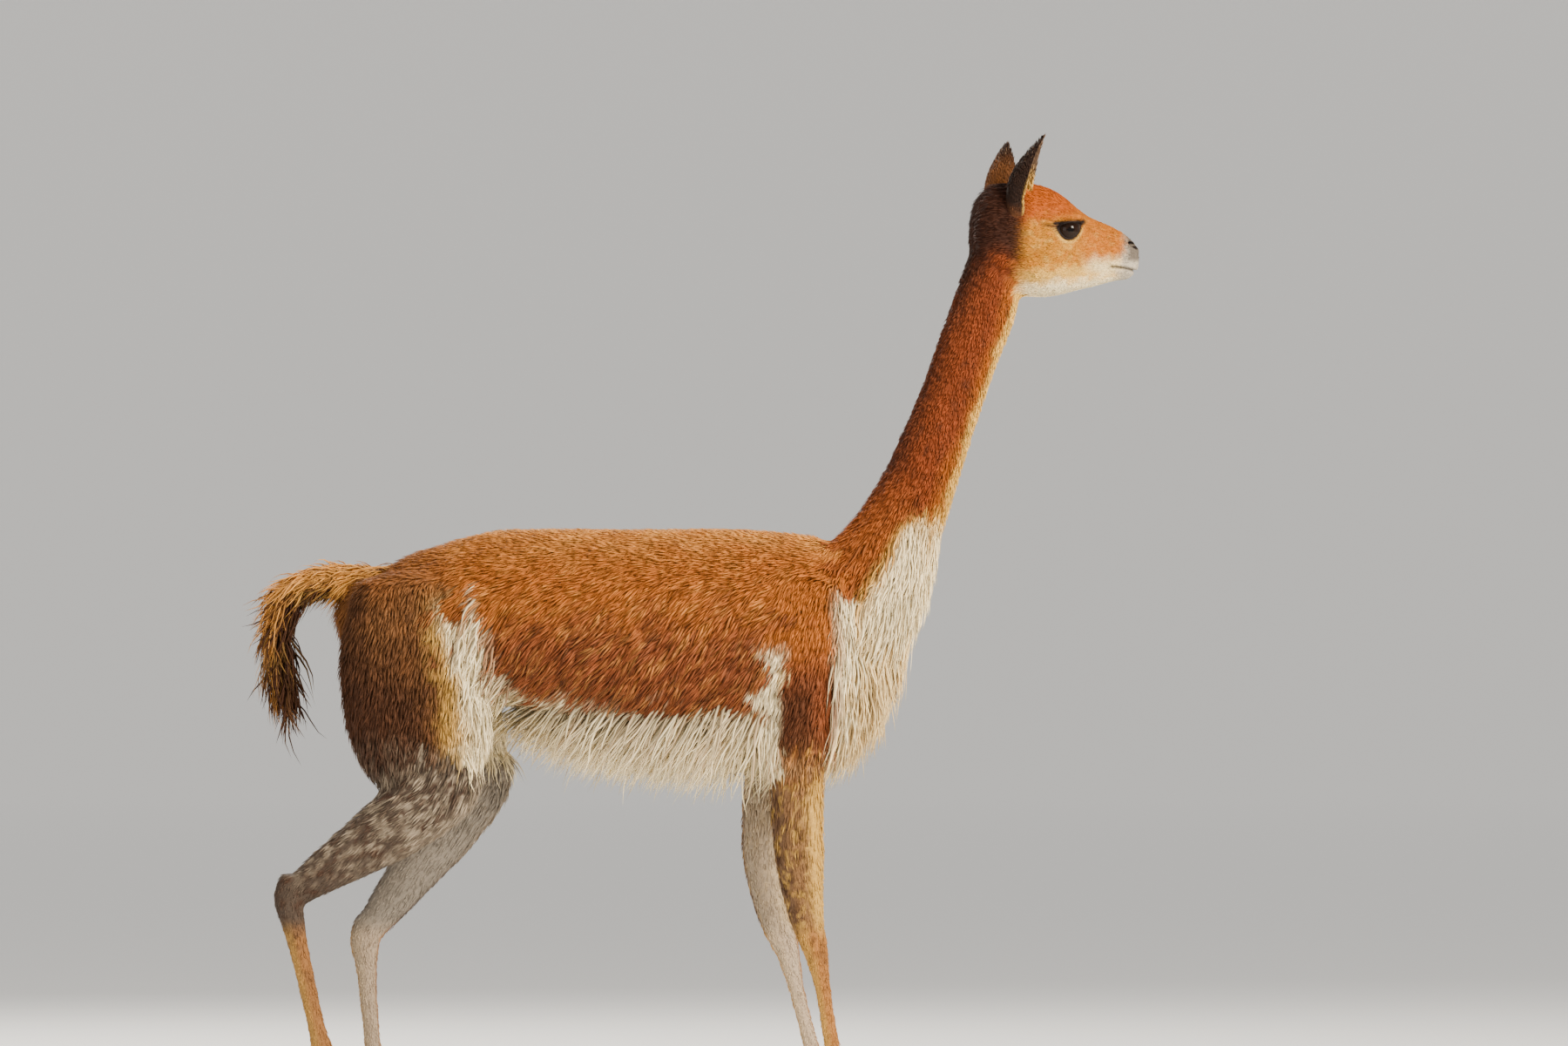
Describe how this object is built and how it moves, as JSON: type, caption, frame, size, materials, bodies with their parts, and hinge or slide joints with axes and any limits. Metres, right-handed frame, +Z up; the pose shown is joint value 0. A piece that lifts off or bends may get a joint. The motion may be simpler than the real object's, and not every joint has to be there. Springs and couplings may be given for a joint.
{
  "type": "vicuna",
  "caption": "Life-size model of a standing vicuna with a slender upright neck, pointed ears, a shaggy white breast apron, hanging belly fringe and a raised tail.",
  "frame": {"origin": "on the floor, under the middle of the whole animal's box", "axes": "+X the way the animal faces, +Y its left side, +Z up"},
  "size_m": [1.295, 0.2934, 1.4214],
  "materials": {
    "coat_tawny": "fine short wool",
    "coat_rust": "fine dense wool",
    "coat_white": "long silky hair",
    "coat_legs": "short smooth hair",
    "ear_hair": "short velvet hair",
    "eye": "wet gloss",
    "nail": "dull horn"
  },
  "bodies": {
    "root": {"torso": "coat_tawny", "head": "coat_tawny", "thigh_right": "coat_tawny", "shank_right": "coat_legs", "hind_cannon_right": "coat_legs", "hind_foot_right": "coat_legs", "thigh_left": "coat_tawny", "shank_left": "coat_legs", "hind_cannon_left": "coat_legs", "hind_foot_left": "coat_legs", "upper_arm_right": "coat_tawny", "forearm_right": "coat_legs", "fore_cannon_right": "coat_legs", "fore_foot_right": "coat_legs", "upper_arm_left": "coat_tawny", "forearm_left": "coat_legs", "fore_cannon_left": "coat_legs", "fore_foot_left": "coat_legs", "neck": "coat_rust", "ear_left": "ear_hair", "ear_right": "ear_hair", "tail": "coat_tawny", "eye_left": "eye", "eye_right": "eye", "nail_hind_right_inner": "nail", "nail_hind_right_outer": "nail", "nail_hind_left_inner": "nail", "nail_hind_left_outer": "nail", "nail_fore_right_inner": "nail", "nail_fore_right_outer": "nail", "nail_fore_left_inner": "nail", "nail_fore_left_outer": "nail"}
  },
  "joints": []
}
